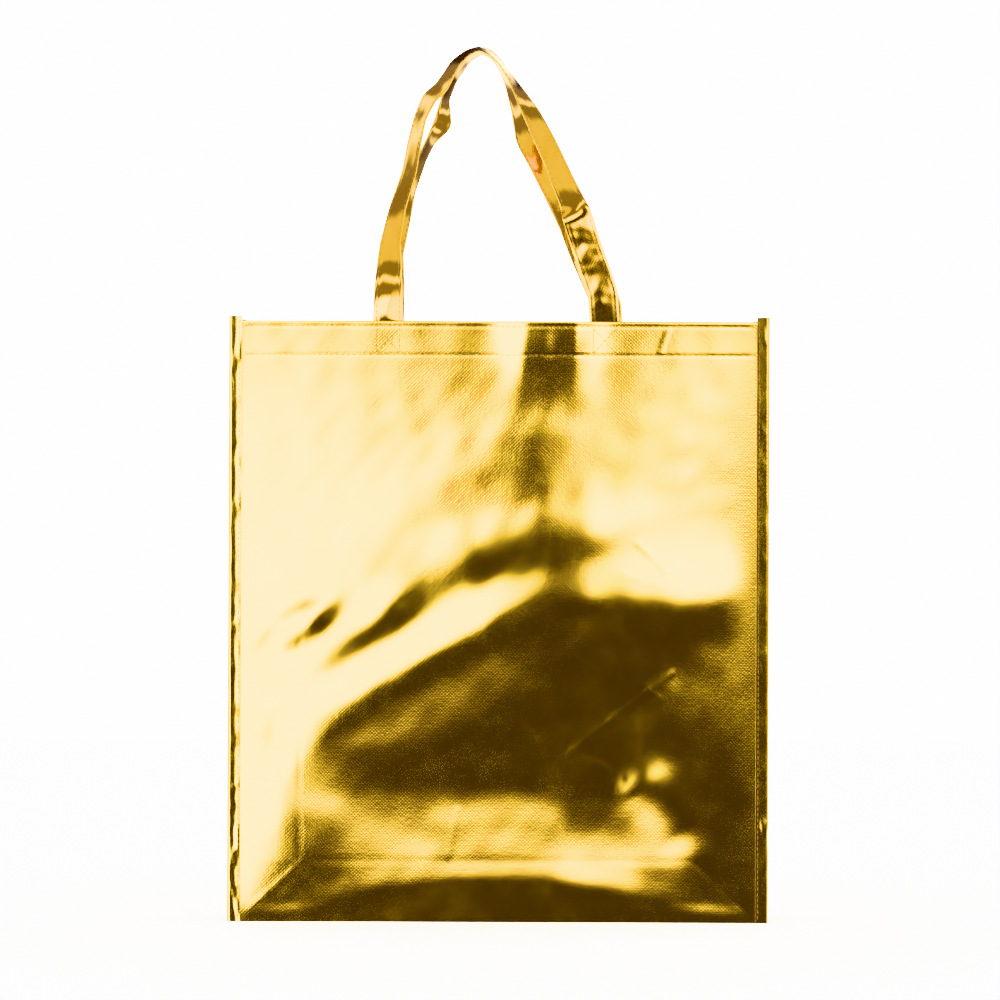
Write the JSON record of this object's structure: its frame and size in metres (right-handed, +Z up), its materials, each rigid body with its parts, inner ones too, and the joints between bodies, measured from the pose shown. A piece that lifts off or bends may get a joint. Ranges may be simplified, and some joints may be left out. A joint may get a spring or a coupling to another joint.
{
  "type": "gift bag",
  "caption": "Free-standing gift bag in glossy metallic-gold laminated fabric, with creased side gussets, taped seams, a stitched hem and flat sewn strap handles that swing; it folds flat.",
  "frame": {"origin": "middle of the underside, on the surface the bag stands on", "axes": "+Z up, -Y out of the front panel, X from the left side seam to the right one"},
  "size_m": [0.36, 0.1158, 0.5841],
  "materials": {
    "gold_cloth": "glossy metallised film over nonwoven cloth, fine diagonal embossing, white matte inside",
    "gold_tape": "glossy metallised film tape, crumpled by its stitching",
    "gold_strap": "glossy metallised film, folded and edge-stitched",
    "gold_thread": "satin polyester thread"
  },
  "bodies": {
    "back": {"back_panel": "gold_cloth", "back_hem_stitching": "gold_thread", "back_left_binding": "gold_tape", "back_left_binding_stitching": "gold_thread", "back_handle_left_end": "gold_strap", "back_handle_left_stitching": "gold_thread", "back_right_binding": "gold_tape", "back_right_binding_stitching": "gold_thread", "back_handle_right_end": "gold_strap", "back_handle_right_stitching": "gold_thread", "base_panel": "gold_cloth", "left_gusset": "gold_cloth", "right_gusset": "gold_cloth", "left_base_binding": "gold_tape", "right_base_binding": "gold_tape", "left_base_binding_stitching": "gold_thread", "right_base_binding_stitching": "gold_thread"},
    "front": {"front_panel": "gold_cloth", "front_hem_stitching": "gold_thread", "front_left_binding": "gold_tape", "front_left_binding_stitching": "gold_thread", "front_handle_left_end": "gold_strap", "front_handle_left_stitching": "gold_thread", "front_right_binding": "gold_tape", "front_right_binding_stitching": "gold_thread", "front_handle_right_end": "gold_strap", "front_handle_right_stitching": "gold_thread"},
    "front_strap": {"front_handle": "gold_strap", "front_handle_stitching": "gold_thread"},
    "back_strap": {"back_handle": "gold_strap", "back_handle_stitching": "gold_thread"}
  },
  "joints": [
    {"name": "fold_flat", "type": "slide", "parent": "back", "child": "front", "axis": [0, 1, 0], "range_m": [0, 0.07], "deforming": ["base_panel", "left_gusset", "right_gusset", "left_base_binding", "right_base_binding", "left_base_binding_stitching", "right_base_binding_stitching"]},
    {"name": "front_handle_swing", "type": "hinge", "parent": "front", "child": "front_strap", "pos_m": [0, -0.0403, 0.4003], "axis": [1, 0, 0], "range_deg": [0, 160]},
    {"name": "back_handle_swing", "type": "hinge", "parent": "back", "child": "back_strap", "pos_m": [0, 0.0403, 0.4003], "axis": [-1, 0, 0], "range_deg": [0, 160]}
  ]
}
